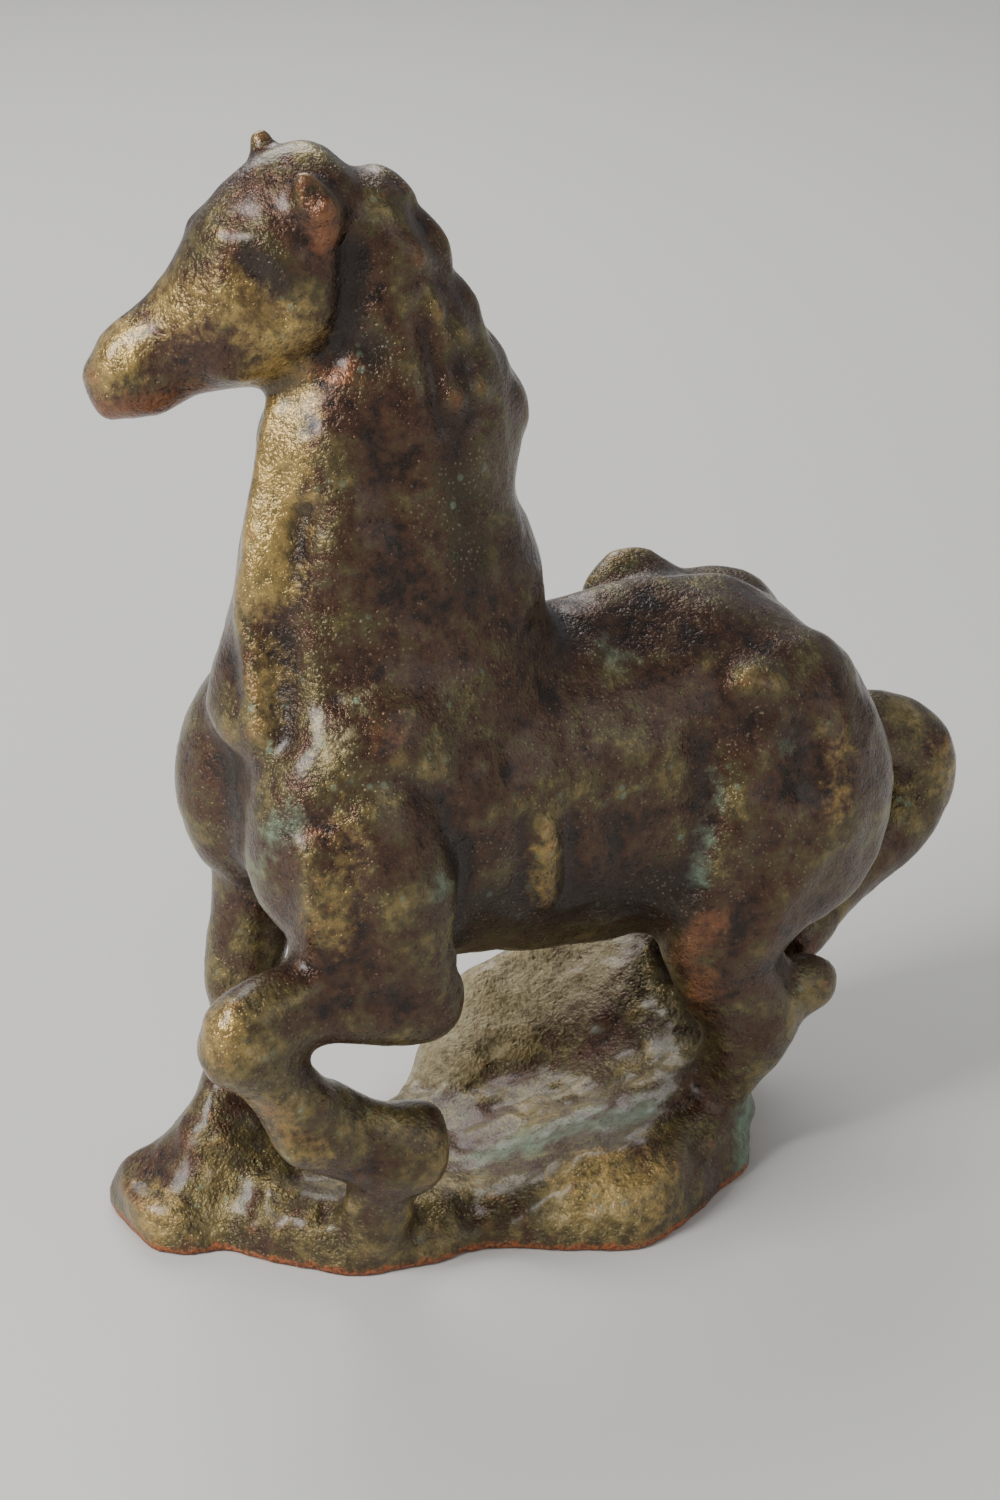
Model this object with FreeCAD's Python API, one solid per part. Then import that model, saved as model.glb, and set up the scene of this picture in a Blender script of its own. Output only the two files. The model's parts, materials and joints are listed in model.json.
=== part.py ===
"""A patinated bronze horse on a rock, cast in sections, pinned, brazed and bolted to its hollow rock base.

Frame: millimetres, +Z up, the horse faces -X and its left flank faces -Y. The origin is under the middle
of the statue's bounding box, on the plane that it stands on.
A limb, the barrel, the neck and the head are lofts through egg-shaped sections. All of them are fused
into one outer form, which planes then cut into the castings, so that every joint is flat and closes tightly.
"""
import math
import os

import FreeCAD
import Part
from FreeCAD import Vector

# ---------------------------------------------------------------- driving dimensions
ROCK_WALL = 4.5         # bronze wall of the hollow rock
ROCK_END_WALL = 6.2     # the same at the front and rear ends of the hollow
HOLLOW_FRONT_X = -52.5
HOLLOW_REAR_X = 62.0
LEG_PIN_RADIUS = 2.5    # locating pins across the joints of the legs and the tail
LEG_PIN_LENGTH = 22.0
SLIM_PIN_RADIUS = 2.0   # locating pins of the neck, the head and the folded hoof
SLIM_PIN_LENGTH = 16.0
STUD_RADIUS = 2.0       # M4 studs that hold the feet to the rock
STUD_LENGTH = 25.0
STUD_BELOW_BOSS = 6.0   # how far a stud stands out under its boss
BOSS_RADIUS = 7.5       # bosses under the rock's skin that the studs pass through
BOSS_HEIGHT = 12.0
SPANNER_RADIUS = 5.5    # clear space under a boss, round the washer and the nut
NUT_ACROSS = 7.0        # M4 hexagon nut, across flats
NUT_HEIGHT = 3.2
WASHER_RADIUS = 4.5
WASHER_THICKNESS = 0.8
PLUG_RADIUS = 2.0       # plugs in the core-pin holes
NECK_JOINT_Z = 134.0            # the neck is a level joint across its root
LEFT_FORELEG_JOINT_Z = 76.0     # above the lifted forearm
RIGHT_FORELEG_JOINT_Z = 68.0
HIND_LEG_JOINT_Z = 56.0
HEAD_JOINT = ((-19, 0, 195), (-0.77, 0, 0.64))     # point and normal: throat to the back of the poll
TAIL_JOINT = ((93, 0, 81), (0.75, 0, -0.66))       # point and normal: across the dock
FAR = 400.0             # longer than the statue, for cutting tools
OUTLINE_POINTS = 12     # points round each lofted section

ACROSS = Vector(0, 1, 0)   # from the left flank to the right flank
UP = (0, 0, 1)


# ---------------------------------------------------------------- shape helpers
def section(centre, tangent, half_width, front, back, side):
    """Closed egg-shaped wire: half_width to each side, and its own depth in front of and behind centre."""
    across = (side - tangent * side.dot(tangent)).normalize()
    ahead = tangent.cross(across).normalize()
    points = []
    for i in range(OUTLINE_POINTS):
        turn = 2 * math.pi * i / OUTLINE_POINTS
        reach = front if math.sin(turn) > 0 else back
        points.append(centre + across * (half_width * math.cos(turn)) + ahead * (reach * math.sin(turn)))
    curve = Part.BSplineCurve()
    curve.interpolate(Points=points, PeriodicFlag=True,
                      Parameters=[i / OUTLINE_POINTS for i in range(OUTLINE_POINTS + 1)])
    return Part.Wire([curve.toShape()])


def limb(stations, side=ACROSS, round_start=0.0, round_end=0.0):
    """Loft through stations (x, y, z, half width, front depth, back depth), with rounded ends."""
    places = [Vector(*s[:3]) for s in stations]
    tangents = []
    for i in range(len(places)):
        tangents.append((places[min(i + 1, len(places) - 1)] - places[max(i - 1, 0)]).normalize())
    wires = [section(p, t, *s[3:], side) for p, t, s in zip(places, tangents, stations)]
    for length, index, way in ((round_start, 0, -1), (round_end, -1, 1)):
        if not length:
            continue
        cap = []
        for share in (0.55, 0.87, 0.99):
            shrink = math.sqrt(1 - share * share)
            sizes = [r * shrink for r in stations[index][3:]]
            centre = places[index] + tangents[index] * (way * length * share)
            cap.append(section(centre, tangents[index], *sizes, side))
        wires = cap[::-1] + wires if index == 0 else wires + cap
    return Part.makeLoft(wires, True, False)


def ball(x, y, z, half_x, half_y, half_z, pitch=0.0, yaw=0.0):
    """Ellipsoid, pitched nose down about Y and then turned about Z, in degrees."""
    shape = Part.makeSphere(1.0)
    matrix = FreeCAD.Matrix()
    matrix.scale(half_x, half_y, half_z)
    shape = shape.transformGeometry(matrix)
    shape.rotate(Vector(0, 0, 0), Vector(0, 1, 0), pitch)
    shape.rotate(Vector(0, 0, 0), Vector(0, 0, 1), yaw)
    shape.translate(Vector(x, y, z))
    return shape


def beyond(point, normal, half_size=FAR):
    """A block that fills the side of a plane that its normal points to."""
    normal = Vector(*normal).normalize()
    block = Part.makeBox(2 * half_size, 2 * half_size, half_size, Vector(-half_size, -half_size, 0))
    block.Placement = FreeCAD.Placement(Vector(*point), FreeCAD.Rotation(Vector(0, 0, 1), normal))
    return block


def pin(point, direction, radius, length):
    """Cylinder with its middle on point."""
    direction = Vector(*direction).normalize()
    return Part.makeCylinder(radius, length, Vector(*point) - direction * (length / 2), direction)


def below(z):
    """Everything under a level plane."""
    return beyond((0, 0, z), (0, 0, -1))


def above(z):
    """Everything over a level plane."""
    return beyond((0, 0, z), UP)


def joined(shapes):
    """One solid from shapes that overlap."""
    return shapes[0].fuse(shapes[1:])


def cut_by(shape, tools):
    """The shape with every tool taken out of it."""
    return shape.cut(Part.makeCompound(tools))


# ---------------------------------------------------------------- the outer form of the horse
def barrel():
    """Chest, ribs, flanks and croup: stations x, y, z, half width, height above, depth below."""
    return limb([(-38, 0, 98, 22, 22, 20), (-28, 0, 97, 28, 30, 27), (-10, 0, 94, 29, 33, 35),
                 (8, 0, 90, 28, 34, 35), (26, 0, 87, 27, 36, 36), (44, 0, 87, 28, 36, 35),
                 (60, 0, 88, 29, 33, 28), (76, 0, 86, 26, 25, 24), (89, 0, 83, 18, 13, 17)],
                round_start=7, round_end=7)


def pectorals():
    """The two breast muscles, either side of the neck's front ridge."""
    return [ball(-34, 15 * way, 97, 15, 15, 24, pitch=8) for way in (-1, 1)]


def neck():
    """Thick upright neck from inside the shoulders to behind the poll."""
    return limb([(-12, 0, 108, 24, 31, 32), (-12, 0, 122, 23, 36, 33), (-13, 0, 136, 20, 31, 32),
                 (-13, 0, 149, 18, 28, 29), (-11, 1, 161, 17, 26, 26), (-9, 1, 172, 16, 25, 24),
                 (-10, 2, 183, 15, 20, 18), (-12, 3, 195, 14, 16, 12), (-16, 4, 207, 12, 13, 9)],
                round_end=8)


HEAD_ACROSS = Vector(0.36, 0.93, 0)   # the head looks a little to the right of the body


def head():
    """Long plain head from the muzzle to the poll: half width, forehead height, jaw depth."""
    return limb([(-58, 20, 176, 6.5, 6.8, 5.8), (-55, 18, 178, 8, 9.3, 8.3), (-50, 16, 182, 8.5, 10, 9.5),
                 (-44, 13, 187, 10.5, 11, 13), (-38, 10, 193, 13, 13, 18), (-32, 8, 199, 15, 15, 20),
                 (-26, 6, 206, 14, 14, 18), (-20, 4, 212, 11, 11, 12)],
                side=HEAD_ACROSS, round_start=4, round_end=5)


def left_foreleg_form():
    """Lifted leg: shoulder to elbow, forearm held forward, cannon and hoof folded back under it."""
    upper = limb([(-19, -24, 60, 9, 12, 8), (-25, -24, 72, 11, 18, 13), (-28, -22, 84, 13, 18, 18),
                  (-28, -19, 98, 14, 18, 20), (-22, -15, 112, 13, 18, 18), (-14, -11, 123, 10, 13, 14)],
                 round_start=4, round_end=6)
    forearm = limb([(-60, -27, 65, 7.5, 7.5, 7.5), (-50, -26, 67, 7.5, 8, 8), (-38, -25, 66, 8, 8.5, 8.5),
                    (-26, -25, 62, 9, 10, 8.5), (-18, -24, 60, 9, 11, 8)],
                   round_start=5, round_end=5)
    cannon = limb([(-18, -24, 27, 8, 8, 8), (-26, -24, 29, 8.5, 9.5, 9), (-34, -24, 33, 7.5, 8.5, 8.5),
                   (-42, -24, 39, 7.5, 9, 9), (-48, -25, 47, 6.5, 7, 7), (-54, -26, 56, 7, 7, 7.5),
                   (-60, -27, 64, 7.5, 8, 8)],
                  round_start=1.5, round_end=5)
    return [upper, forearm, cannon]


def right_foreleg_form():
    """Supporting leg, straight down into the mound of the rock."""
    return [limb([(-38, 17, 12, 8, 8, 8), (-38, 18, 28, 7, 7.5, 7.5), (-36, 19, 41, 6.5, 7, 7),
                  (-35, 20, 52, 7.5, 8, 7.5), (-33, 20, 64, 8, 8.5, 9), (-31, 20, 76, 10, 11, 13),
                  (-29, 19, 90, 13, 17, 18), (-26, 16, 104, 13, 18, 18), (-18, 12, 118, 11, 14, 16)],
                 round_end=6)]


def left_hind_leg_form():
    """Crouching leg: haunch, thigh, gaskin, hock that points back, cannon down to the rock."""
    leg = limb([(51, -19, 8, 7, 8, 6), (53, -19, 16, 7, 9, 7),
                (58, -22, 26, 7.5, 11, 8), (60, -23, 36, 8, 14, 10), (56, -23, 46, 8.5, 15, 9),
                (53, -23, 54, 11, 16, 14), (56, -22, 66, 13, 23, 27), (62, -19, 80, 15, 27, 31),
                (65, -15, 96, 15, 24, 26), (65, -12, 108, 12, 15, 17)], round_end=5)
    point_of_hock = ball(70, -23, 38, 9, 6, 6.5, pitch=12)
    return [leg, point_of_hock]


def right_hind_leg_form():
    """The other hind leg, set a little further under the body on the high side of the rock."""
    leg = limb([(66, 26, 17, 7, 7, 6), (68, 26, 24, 7, 7.5, 6.5), (74, 25, 33, 7.5, 9, 8),
                (76, 25, 42, 8, 10, 9), (71, 24, 51, 9, 11, 9), (66, 24, 60, 12, 15, 15),
                (64, 22, 72, 14, 22, 25), (65, 19, 84, 15, 25, 29), (67, 15, 98, 15, 24, 25),
                (66, 12, 110, 12, 15, 17)], round_end=5)
    point_of_hock = ball(84, 25, 44, 9, 6, 6.5, pitch=12)
    return [leg, point_of_hock]


def tail_form():
    """Tail carried out from the croup, arched over and swept back in to the hocks."""
    return limb([(86, 0, 81, 8, 9, 8), (100, 0, 79, 8.5, 9, 8), (110, 0, 75, 9, 9, 8),
                 (115, 0, 67, 9.5, 8, 9), (110, 0, 58, 9.5, 8, 9.5), (99, -1, 51, 9, 7.5, 9),
                 (87, -4, 45, 8, 6.5, 7.5), (76, -9, 40, 7, 6, 6)], round_end=4)


def hip_bones():
    """The two points of the hip, which stand up either side of the loins."""
    return [ball(58, -20, 105, 11, 7, 9, pitch=10), ball(56, 20, 112, 13, 7, 9, pitch=14)]


def rock_section(x, profile, inset=0.0):
    """Closed wire across the rock at x: profile is (y, height) from the left edge to the right edge."""
    middle = (profile[0][0] + profile[-1][0]) / 2
    half = (profile[-1][0] - profile[0][0]) / 2
    shrink = (half - inset) / half
    under = -3.0
    points = [Vector(x, middle + (y - middle) * shrink, z - inset) for y, z in profile]
    points[0].z = under
    points[-1].z = under
    curve = Part.BSplineCurve()
    curve.interpolate(Points=points, Parameters=[i / (len(points) - 1) for i in range(len(points))])
    return Part.Wire([curve.toShape(), Part.LineSegment(points[-1], points[0]).toShape()])


ROCK = [   # x, then (y, height) across the rock, from the left edge to the right edge
    (-64, [(6, 0), (7, 4), (10, 8), (14, 10), (18, 10), (22, 8), (25, 5), (27, 3), (28, 0)]),
    (-56, [(-1, 0), (1, 6), (6, 11), (12, 14), (18, 14), (24, 12), (28, 8), (31, 5), (32, 0)]),
    (-47, [(-8, 0), (-6, 6), (0, 12), (8, 21), (15, 27), (22, 22), (28, 13), (33, 6), (34, 0)]),
    (-37, [(-18, 0), (-16, 7), (-8, 11), (2, 13), (10, 22), (17, 28), (25, 20), (31, 8), (34, 0)]),
    (-22, [(-25, 0), (-23, 7), (-16, 11), (-6, 10), (4, 8), (12, 9), (20, 8), (26, 5), (28, 0)]),
    (-6, [(-27, 0), (-25, 6), (-17, 9), (-7, 8), (3, 6), (11, 6), (19, 6), (26, 5), (28, 0)]),
    (10, [(-36, 0), (-34, 7), (-25, 11), (-13, 9), (0, 7), (12, 7), (23, 8), (32, 8), (35, 0)]),
    (22, [(-42, 0), (-39, 9), (-30, 15), (-15, 12), (2, 9), (18, 10), (31, 16), (41, 18), (45, 0)]),
    (34, [(-38, 0), (-36, 10), (-28, 17), (-13, 14), (3, 11), (19, 14), (33, 22), (43, 23), (48, 0)]),
    (46, [(-32, 0), (-30, 11), (-22, 19), (-9, 19), (5, 18), (19, 21), (33, 27), (43, 25), (49, 0)]),
    (57, [(-25, 0), (-23, 12), (-15, 21), (0, 23), (11, 24), (22, 28), (34, 30), (43, 25), (48, 0)]),
    (67, [(-6, 0), (-4, 11), (2, 19), (10, 23), (18, 26), (26, 29), (35, 27), (42, 18), (45, 0)]),
    (77, [(10, 0), (11, 7), (15, 12), (20, 15), (24, 16), (29, 15), (34, 12), (38, 7), (40, 0)]),
]


def rock_form():
    """Solid rock with its foot still below the ground plane."""
    return Part.makeLoft([rock_section(x, profile) for x, profile in ROCK], True, False)


def rock_hollow():
    """Space inside the rock, a wall's thickness in from the outside and open underneath."""
    wires = [rock_section(HOLLOW_FRONT_X, ROCK[1][1], ROCK_END_WALL)]
    wires += [rock_section(x, profile, ROCK_WALL) for x, profile in ROCK[2:-2]]
    wires.append(rock_section(HOLLOW_REAR_X, ROCK[-3][1], ROCK_END_WALL))
    return Part.makeLoft(wires, True, False)


def hoof_stand():
    """Stump of rock that carries the folded left foreleg."""
    return limb([(-27, -16, 1, 8, 8, 8), (-27, -20, 12, 6.5, 7, 7), (-27, -23, 24, 7, 7, 7)])


def left_ear_form():
    """Short ear laid back: base, middle and tip, and a tenon that seats in the skull."""
    return limb([(-25, -3, 206, 4, 3.5, 3.5), (-27, -5, 210, 4.5, 4.5, 4), (-29, -6, 214, 3.8, 3.5, 3.5),
                 (-31, -6, 218, 2, 2, 2)], round_end=1.2)


def right_ear_form():
    """The pointed ear on the far side of the crown."""
    return limb([(-25, 12, 206, 4, 3.5, 3.5), (-27, 13, 211, 4.2, 4.5, 4), (-28, 14, 216, 3, 3, 3),
                 (-29, 14.5, 220, 1.4, 1.4, 1.4)], round_end=1)


def mane_form():
    """Strip along the crest: half width, depth out of the neck, depth into it. It ends in a lump of hair."""
    return limb([(-11, 4, 213, 5, 2.5, 5), (-5, 3, 206, 6.5, 2.5, 6), (0, 2, 196, 7.5, 2.5, 6),
                 (5, 2, 185, 8, 2.5, 6), (9.5, 1, 175, 8, 3, 6), (12, 0, 168, 7.5, 4.5, 6),
                 (12, 0, 163, 6, 3.5, 5)],
                round_start=3, round_end=3)


# ---------------------------------------------------------------- hollows
def body_hollow():
    """Space inside the barrel and up into the neck, where the core was. The wall is 5 mm or more."""
    barrel_core = limb([(-24, 0, 97, 18, 18, 18), (-8, 0, 94, 23, 24, 26), (8, 0, 90, 23, 28, 30),
                        (26, 0, 87, 22, 31, 31), (44, 0, 87, 22, 29, 27), (58, 0, 88, 20, 22, 20),
                        (70, 0, 86, 16, 14, 15)],
                       round_start=5, round_end=5)
    neck_core = limb([(-12, 0, 104, 14, 18, 19), (-12, 0, 120, 14, 22, 22), (-13, 0, 136, 12, 21, 21),
                      (-13, 0, 152, 10, 18, 17), (-11, 1, 166, 8, 14, 13), (-11, 1, 176, 6, 9, 8)],
                     round_end=5)
    return barrel_core.fuse(neck_core)


# ---------------------------------------------------------------- fasteners
STUDS = [(-38, 17.5, 18), (51.5, -18.5, 8), (67, 26, 17)]   # x, y and the underside of each boss


def stud_parts():
    """Threaded studs, washers and nuts under the rock. Threads are plain cylinders."""
    studs = []
    washers = []
    nuts = []
    for x, y, boss_z in STUDS:
        bore = Part.makeCylinder(STUD_RADIUS, STUD_LENGTH, Vector(x, y, boss_z - STUD_BELOW_BOSS))
        washer_z = boss_z - WASHER_THICKNESS
        washer = Part.makeCylinder(WASHER_RADIUS, WASHER_THICKNESS, Vector(x, y, washer_z))
        corner = NUT_ACROSS / 2 / math.cos(math.pi / 6)
        outline = [Vector(x + corner * math.cos(i * math.pi / 3), y + corner * math.sin(i * math.pi / 3),
                          washer_z - NUT_HEIGHT) for i in range(7)]
        nut = Part.Face(Part.makePolygon(outline)).extrude(Vector(0, 0, NUT_HEIGHT))
        studs.append(bore)
        washers.append(washer.cut(bore))
        nuts.append(nut.cut(bore))
    return studs, washers, nuts


LEG_PINS = {   # node, then the middle and the direction of each pin
    "foreleg_pins": [((-27, -22, LEFT_FORELEG_JOINT_Z), UP), ((-32, 20, RIGHT_FORELEG_JOINT_Z), UP)],
    "hind_leg_pins": [((53, -23, HIND_LEG_JOINT_Z), UP), ((68, 24, HIND_LEG_JOINT_Z), UP)],
    "tail_pin": [((93, 0, 80), TAIL_JOINT[1])],
}
SLIM_PINS = {
    "neck_pins": [((-38, 0, NECK_JOINT_Z), UP), ((13, 0, NECK_JOINT_Z), UP)],
    "head_pins": [((-27, 4, 185.4), HEAD_JOINT[1]), ((-11, 3, 204.6), HEAD_JOINT[1])],
    "hoof_pin": [((-27, -22.5, 21), UP)],
}
CORE_PLUGS = [   # a point in the body wall and the direction out of it
    ((8, 0, 57), (0, 0, -1)), ((36, 0, 53), (0, 0, -1)), ((10, 27, 92), (0, 1, 0)), ((30, 0, 121), (0, 0, 1)),
]
PLUG_REACH = 24.0      # tool length for the core-pin holes, through the wall and both faces


# ---------------------------------------------------------------- the assembly
def pins_of(places, radius, length):
    """Pins for each node in a table of places."""
    return {name: [pin(point, way, radius, length) for point, way in spots] for name, spots in places.items()}


def rock_base(studs):
    """Hollow rock with its stump, and a solid boss under each bolted foot. Returns it with its outer form."""
    outer = joined([rock_form(), hoof_stand()]).cut(below(0))
    bosses = [Part.makeCylinder(BOSS_RADIUS, BOSS_HEIGHT, Vector(x, y, z)).common(outer) for x, y, z in STUDS]
    spaces = [Part.makeCylinder(SPANNER_RADIUS, z + 1, Vector(x, y, -1)) for x, y, z in STUDS]
    skin = joined([outer.cut(rock_hollow())] + bosses)
    return cut_by(skin, spaces + studs), outer


def legs(rock_outer):
    """The four leg castings, each from its joint down to the rock, and their roots in the body."""
    forms = {
        "left_foreleg": (left_foreleg_form(), LEFT_FORELEG_JOINT_Z),
        "right_foreleg": (right_foreleg_form(), RIGHT_FORELEG_JOINT_Z),
        "left_hind_leg": (left_hind_leg_form(), HIND_LEG_JOINT_Z),
        "right_hind_leg": (right_hind_leg_form(), HIND_LEG_JOINT_Z),
    }
    castings = {}
    roots = []
    for name, (form, joint_z) in forms.items():
        whole = joined(form) if len(form) > 1 else form[0]
        castings[name] = whole.cut(above(joint_z)).cut(rock_outer)
        roots.append(whole.common(above(joint_z)))
    return castings, roots


def assembly():
    """Every node of the statue as a list of shapes."""
    studs, washers, nuts = stud_parts()
    pins = pins_of(LEG_PINS, LEG_PIN_RADIUS, LEG_PIN_LENGTH)
    pins.update(pins_of(SLIM_PINS, SLIM_PIN_RADIUS, SLIM_PIN_LENGTH))
    rock, rock_outer = rock_base(studs)
    leg_castings, leg_roots = legs(rock_outer)
    tail = tail_form().common(beyond(*TAIL_JOINT)).cut(leg_castings["left_hind_leg"])
    left_ear = left_ear_form()
    right_ear = right_ear_form()
    mane = mane_form()
    hollow = body_hollow()

    forequarters = joined([neck(), head()])
    head_side = beyond(*HEAD_JOINT)
    skull = cut_by(forequarters.common(head_side), [mane, left_ear, right_ear])
    neck_casting = cut_by(forequarters.common(above(NECK_JOINT_Z)).cut(head_side), [mane, hollow])
    torso_form = joined([barrel(), neck().cut(above(NECK_JOINT_Z))] + pectorals() + hip_bones() + leg_roots)
    torso_form = cut_by(torso_form, list(leg_castings.values()) + [tail])
    drills = [pin(point, way, PLUG_RADIUS, PLUG_REACH) for point, way in CORE_PLUGS]
    plugs = [drill.common(torso_form).cut(hollow) for drill in drills]
    torso = cut_by(torso_form, [hollow] + drills)

    castings = {
        "rock_base": rock, "torso_casting": torso, "neck_casting": neck_casting, "head_casting": skull,
        "left_ear": left_ear, "right_ear": right_ear, "mane_casting": mane, "tail_casting": tail,
    }
    castings.update(leg_castings)
    fasteners = [solid for group in pins.values() for solid in group] + studs
    nodes = {name: [cut_by(shape, fasteners)] for name, shape in castings.items()}
    nodes.update(pins)
    nodes.update({"core_plugs": plugs, "foot_studs": studs, "foot_washers": washers, "foot_nuts": nuts})
    return nodes


def main():
    """Write one STEP file per node, with the origin under the middle of the bounding box."""
    os.makedirs("parts", exist_ok=True)
    nodes = {}
    for name, shapes in assembly().items():
        nodes[name] = [solid for shape in shapes for solid in shape.Solids]
    whole = Part.makeCompound([solid for solids in nodes.values() for solid in solids])
    box = whole.optimalBoundingBox(False)
    shift = Vector(-box.Center.x, -box.Center.y, -box.ZMin)
    for name, solids in nodes.items():
        compound = Part.makeCompound(solids) if len(solids) > 1 else solids[0]
        compound.translate(shift)
        compound.exportStep(f"parts/{name}.step")
        print(f"{name}: {len(solids)} solid(s), {compound.Volume / 1000:.2f} cm3, valid {compound.isValid()}")
    print(f"size {box.XLength:.1f} x {box.YLength:.1f} x {box.ZLength:.1f} mm, "
          f"shift {shift.x:.3f} {shift.y:.3f} {shift.z:.3f}")


main()
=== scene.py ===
"""Looks of the bronze horse: one sculpted skin over the castings, cut again at their joints, with its patina.

The castings of the frame become distance fields on one grid. The fields are joined with fillets, and brush
strokes then model the muscles, the face, the mane and the rock. The skin is cut into closed pieces where the
castings meet, so that each piece stands for its own casting. Lengths on the grid are in millimetres.
"""
import json
import math

import bmesh
import bpy
import numpy as np
import openvdb
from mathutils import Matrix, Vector


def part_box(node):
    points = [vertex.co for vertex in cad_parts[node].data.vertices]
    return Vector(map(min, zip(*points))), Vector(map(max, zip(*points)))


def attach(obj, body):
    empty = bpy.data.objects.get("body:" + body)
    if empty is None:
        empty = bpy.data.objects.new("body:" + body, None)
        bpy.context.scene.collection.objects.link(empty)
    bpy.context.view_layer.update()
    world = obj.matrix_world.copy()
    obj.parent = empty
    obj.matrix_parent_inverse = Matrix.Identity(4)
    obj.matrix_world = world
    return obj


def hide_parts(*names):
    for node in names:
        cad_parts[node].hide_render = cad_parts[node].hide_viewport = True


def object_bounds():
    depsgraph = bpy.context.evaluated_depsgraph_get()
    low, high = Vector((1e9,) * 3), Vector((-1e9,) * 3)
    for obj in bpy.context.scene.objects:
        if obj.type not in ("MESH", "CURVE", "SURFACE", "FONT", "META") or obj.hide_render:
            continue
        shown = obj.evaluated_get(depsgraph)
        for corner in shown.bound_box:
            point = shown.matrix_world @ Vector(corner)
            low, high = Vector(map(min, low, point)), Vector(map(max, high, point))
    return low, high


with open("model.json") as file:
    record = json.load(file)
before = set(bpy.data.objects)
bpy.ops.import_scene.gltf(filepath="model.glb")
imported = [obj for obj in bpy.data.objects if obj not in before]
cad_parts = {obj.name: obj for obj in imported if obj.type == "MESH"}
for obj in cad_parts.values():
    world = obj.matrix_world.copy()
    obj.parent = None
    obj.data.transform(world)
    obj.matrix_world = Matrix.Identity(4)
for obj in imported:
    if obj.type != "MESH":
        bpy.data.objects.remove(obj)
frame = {"nodes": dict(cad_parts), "record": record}
CAD_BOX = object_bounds()

MM = 1000.0              # grid millimetres in a metre
VOXEL = 0.75             # grid pitch
BAND = 8.0               # how far from a surface its distances are kept
MARGIN = 8.0             # grid beyond the statue's box
GROUND_SKIN = 0.9        # the layer of the grid that counts as ground, to close the rock's hollow
EXTRA_WALL = 1.2         # how much thicker than the casting the rock's wall is shown
THINNEST_WALL = 2.6      # what the sculpted rock keeps over its hollow
ROUNDING_LOSS = 0.1      # what softening takes off a rounded surface
FILLED = np.float32(4)   # depth given to a filled hollow
FOOT_LIFT = 0.1          # the rim's height over the plane that it stands on

BODY_NODES = ["torso_casting", "neck_casting", "head_casting", "left_foreleg", "right_foreleg",
              "left_hind_leg", "right_hind_leg", "tail_casting"]
SMALL_FILLET = 0.8       # radii of the blurs that round the creases between castings
LARGE_FILLET = 2.6
ROCK_FILLET = 1.5        # where the feet and the trim meet the rest
SOFTENING = 0.75         # blur over the whole form
PLUG_COVER = 0.35        # skin over the ends of the core plugs
LUMPS = ((11, 0.45, 0.35), (5, 0.28, 0.25), (2.4, 0.13, 0.16))   # width, height, and extra height on the rock
PITS = 260               # small pits and bumps on the rock
RELIEF_SCALES = (("relief", 1.0), ("swell", 3.6))   # how far round a point its height is compared

AZIMUTH = -30            # the camera: degrees round from the left flank, negative towards the head
ELEVATION = 25           # degrees above the level
FIELD_OF_VIEW = 25       # degrees, over the picture's height
CAMERA_DISTANCE = 0.700
AIM_SHARES = (0.5, 0.764, 0.365)   # the point in the statue's box that the camera looks at
LIGHTS = (               # name, place, size and power of each soft light
    ("key", (-0.95, -0.05, 0.8), 0.5, 17),
    ("rim", (0.2, 0.9, 0.9), 0.7, 9),
    ("fill", (0.5, -1.1, 0.6), 0.9, 3),
)

EARS = ["left_ear", "right_ear"]
TRIM_NODES = ["mane_casting"] + EARS
CAST_NODES = ["rock_base"] + BODY_NODES + TRIM_NODES
SPLIT_ORDER = ["rock_base", "left_foreleg", "right_foreleg", "left_hind_leg", "right_hind_leg",
               "tail_casting", "left_ear", "right_ear", "mane_casting", "head_casting", "neck_casting",
               "torso_casting"]


# ---------------------------------------------------------------- the grid and its distance fields
LOW = np.array(CAD_BOX[0]) * MM - MARGIN
HIGH = np.array(CAD_BOX[1]) * MM + MARGIN
FIRST = np.floor(LOW / VOXEL).astype(int)
SHAPE = tuple(np.ceil(HIGH / VOXEL).astype(int) - FIRST)
CORNER = tuple(int(i) for i in FIRST)
TRANSFORM = openvdb.createLinearTransform(voxelSize=VOXEL)
BOXES = {name: np.array(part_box(name)) * MM for name in CAST_NODES}


def axis_places(axis):
    """Positions of the grid's layers along one axis, ready to broadcast over the grid."""
    shape = [1, 1, 1]
    shape[axis] = SHAPE[axis]
    return ((np.arange(SHAPE[axis]) + FIRST[axis]) * VOXEL).astype(np.float32).reshape(shape)


PLACES = [axis_places(axis) for axis in range(3)]


def node_field(name):
    """Signed distance to a casting, negative inside it."""
    mesh = frame["nodes"][name].data
    mesh.calc_loop_triangles()
    points = np.zeros(len(mesh.vertices) * 3, np.float32)
    mesh.vertices.foreach_get("co", points)
    corners = np.zeros(len(mesh.loop_triangles) * 3, np.int32)
    mesh.loop_triangles.foreach_get("vertices", corners)
    return field_of(points.reshape(-1, 3) * MM, triangles=corners.reshape(-1, 3))


def field_of(points, **faces):
    """Signed distance to a closed mesh, over the whole grid."""
    grid = openvdb.FloatGrid.createLevelSetFromPolygons(
        points, transform=TRANSFORM, halfWidth=BAND / VOXEL, **faces)
    field = np.full(SHAPE, BAND, np.float32)
    grid.copyToArray(field, ijk=CORNER)
    return field


def skin_mesh(field):
    """Points, in grid millimetres, and quads of the field's surface."""
    grid = openvdb.FloatGrid(BAND)
    grid.copyFromArray(np.clip(field, -BAND, BAND), ijk=CORNER)
    grid.transform = TRANSFORM
    points, quads = grid.convertToQuads(0.0)
    return np.asarray(points), np.asarray(quads)


def redistanced(field):
    """True distances again for a field that was edited."""
    points, quads = skin_mesh(field)
    return field_of(points.astype(np.float32), quads=quads.astype(np.int32))


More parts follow.
